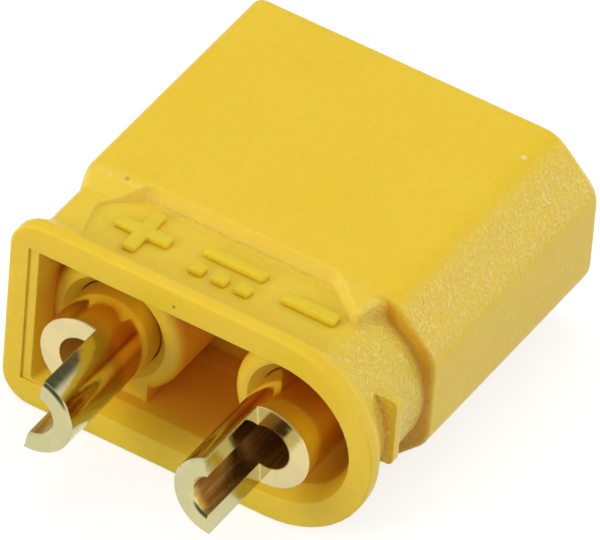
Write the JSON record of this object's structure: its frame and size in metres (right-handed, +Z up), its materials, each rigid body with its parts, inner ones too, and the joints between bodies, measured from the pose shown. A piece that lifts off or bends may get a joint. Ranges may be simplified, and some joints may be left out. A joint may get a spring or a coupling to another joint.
{
  "type": "battery connector",
  "caption": "Polarised battery plug: flat moulded block, square at one end and slanted at the other, with a hollow rear skirt round plated contacts with cut-open solder cups.",
  "frame": {"origin": "middle of the bounding box, at its bottom; the plug lies on its broad side and touches the ground with the rear rim", "axes": "+X from the square (positive) end to the round (negative) end, +Y from the solder cups to the mating face, +Z up, across the plug's thickness"},
  "size_m": [0.0098, 0.013, 0.0054],
  "materials": {
    "housing_nylon": "fine spark-eroded satin",
    "positive_plated": "thin gold plating, smooth turned",
    "negative_plated": "thin gold plating, smooth turned"
  },
  "bodies": {
    "root": {"housing": "housing_nylon", "positive_contact": "positive_plated", "negative_contact": "negative_plated"}
  },
  "joints": []
}
